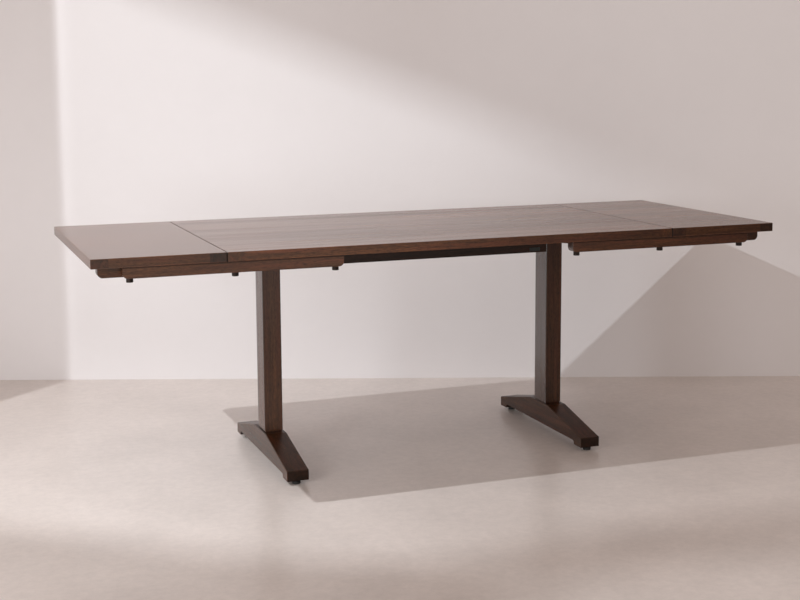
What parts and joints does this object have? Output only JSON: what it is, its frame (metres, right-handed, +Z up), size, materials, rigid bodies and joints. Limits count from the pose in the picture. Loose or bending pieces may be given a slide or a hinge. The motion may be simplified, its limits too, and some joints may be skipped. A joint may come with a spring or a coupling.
{
  "type": "extending dining table",
  "caption": "Dark wooden trestle dining table with a removable leaf at each end, carried on bearers that slide out from under the top; plain posts, sloping feet and levelling glides.",
  "frame": {"origin": "on the floor, under the centre of the top", "axes": "+X along the table towards the right end, +Y from the front edge to the back edge, +Z up"},
  "size_m": [2.2524, 0.85, 0.75],
  "materials": {
    "stained_oak_top": "open-grained oak, dark smoked stain, satin lacquer",
    "stained_oak_frame": "oak, dark smoked stain, satin lacquer",
    "black_steel": "blackened steel, satin",
    "zinc_steel": "bright zinc plate",
    "beech": "plain beech, unfinished",
    "black_nylon": "moulded black nylon",
    "plate_aluminium": "satin aluminium, bare"
  },
  "bodies": {
    "table_frame": {"fixed_top": "stained_oak_top", "rail_front": "stained_oak_frame", "rail_back": "stained_oak_frame", "rail_plate": "plate_aluminium", "top_breadboard_left": "stained_oak_top", "post_left": "stained_oak_frame", "foot_left": "stained_oak_frame", "head_rail_left": "stained_oak_frame", "top_breadboard_right": "stained_oak_top", "post_right": "stained_oak_frame", "foot_right": "stained_oak_frame", "head_rail_right": "stained_oak_frame", "top_bolts": "black_steel", "top_inserts": "zinc_steel", "glide_inserts": "zinc_steel"},
    "left_leaf": {"leaf_left": "stained_oak_top", "leaf_breadboard_inner_left": "stained_oak_top", "leaf_breadboard_outer_left": "stained_oak_top", "leaf_batten_front_left": "stained_oak_frame", "leaf_batten_back_left": "stained_oak_frame", "leaf_bolts_left": "black_steel", "leaf_inserts_left": "zinc_steel", "seam_dowels_left": "beech"},
    "front_left_bearer": {"bearer_front_left": "stained_oak_frame"},
    "front_left_glide": {"glide_pad_front_left": "black_nylon", "glide_stud_front_left": "zinc_steel"},
    "back_left_bearer": {"bearer_back_left": "stained_oak_frame"},
    "back_left_glide": {"glide_pad_back_left": "black_nylon", "glide_stud_back_left": "zinc_steel"},
    "right_leaf": {"leaf_right": "stained_oak_top", "leaf_breadboard_inner_right": "stained_oak_top", "leaf_breadboard_outer_right": "stained_oak_top", "leaf_batten_front_right": "stained_oak_frame", "leaf_batten_back_right": "stained_oak_frame", "leaf_bolts_right": "black_steel", "leaf_inserts_right": "zinc_steel", "seam_dowels_right": "beech"},
    "front_right_bearer": {"bearer_front_right": "stained_oak_frame"},
    "front_right_glide": {"glide_pad_front_right": "black_nylon", "glide_stud_front_right": "zinc_steel"},
    "back_right_bearer": {"bearer_back_right": "stained_oak_frame"},
    "back_right_glide": {"glide_pad_back_right": "black_nylon", "glide_stud_back_right": "zinc_steel"}
  },
  "joints": [
    {"name": "leaf_left_pull", "type": "slide", "parent": "table_frame", "child": "left_leaf", "axis": [-1, 0, 0], "range_m": [0, 0.298]},
    {"name": "bearer_front_left_slide", "type": "slide", "parent": "table_frame", "child": "front_left_bearer", "axis": [1, 0, 0], "range_m": [0, 0.298]},
    {"name": "glide_front_left_turn", "type": "hinge", "parent": "table_frame", "child": "front_left_glide", "pos_m": [-0.506, -0.293, 0.014], "axis": [0, 0, 1], "continuous": true},
    {"name": "bearer_back_left_slide", "type": "slide", "parent": "table_frame", "child": "back_left_bearer", "axis": [1, 0, 0], "range_m": [0, 0.298]},
    {"name": "glide_back_left_turn", "type": "hinge", "parent": "table_frame", "child": "back_left_glide", "pos_m": [-0.506, 0.293, 0.014], "axis": [0, 0, 1], "continuous": true},
    {"name": "leaf_right_pull", "type": "slide", "parent": "table_frame", "child": "right_leaf", "axis": [1, 0, 0], "range_m": [0, 0.298]},
    {"name": "bearer_front_right_slide", "type": "slide", "parent": "table_frame", "child": "front_right_bearer", "axis": [-1, 0, 0], "range_m": [0, 0.298]},
    {"name": "glide_front_right_turn", "type": "hinge", "parent": "table_frame", "child": "front_right_glide", "pos_m": [0.506, -0.293, 0.014], "axis": [0, 0, 1], "continuous": true},
    {"name": "bearer_back_right_slide", "type": "slide", "parent": "table_frame", "child": "back_right_bearer", "axis": [-1, 0, 0], "range_m": [0, 0.298]},
    {"name": "glide_back_right_turn", "type": "hinge", "parent": "table_frame", "child": "back_right_glide", "pos_m": [0.506, 0.293, 0.014], "axis": [0, 0, 1], "continuous": true}
  ]
}
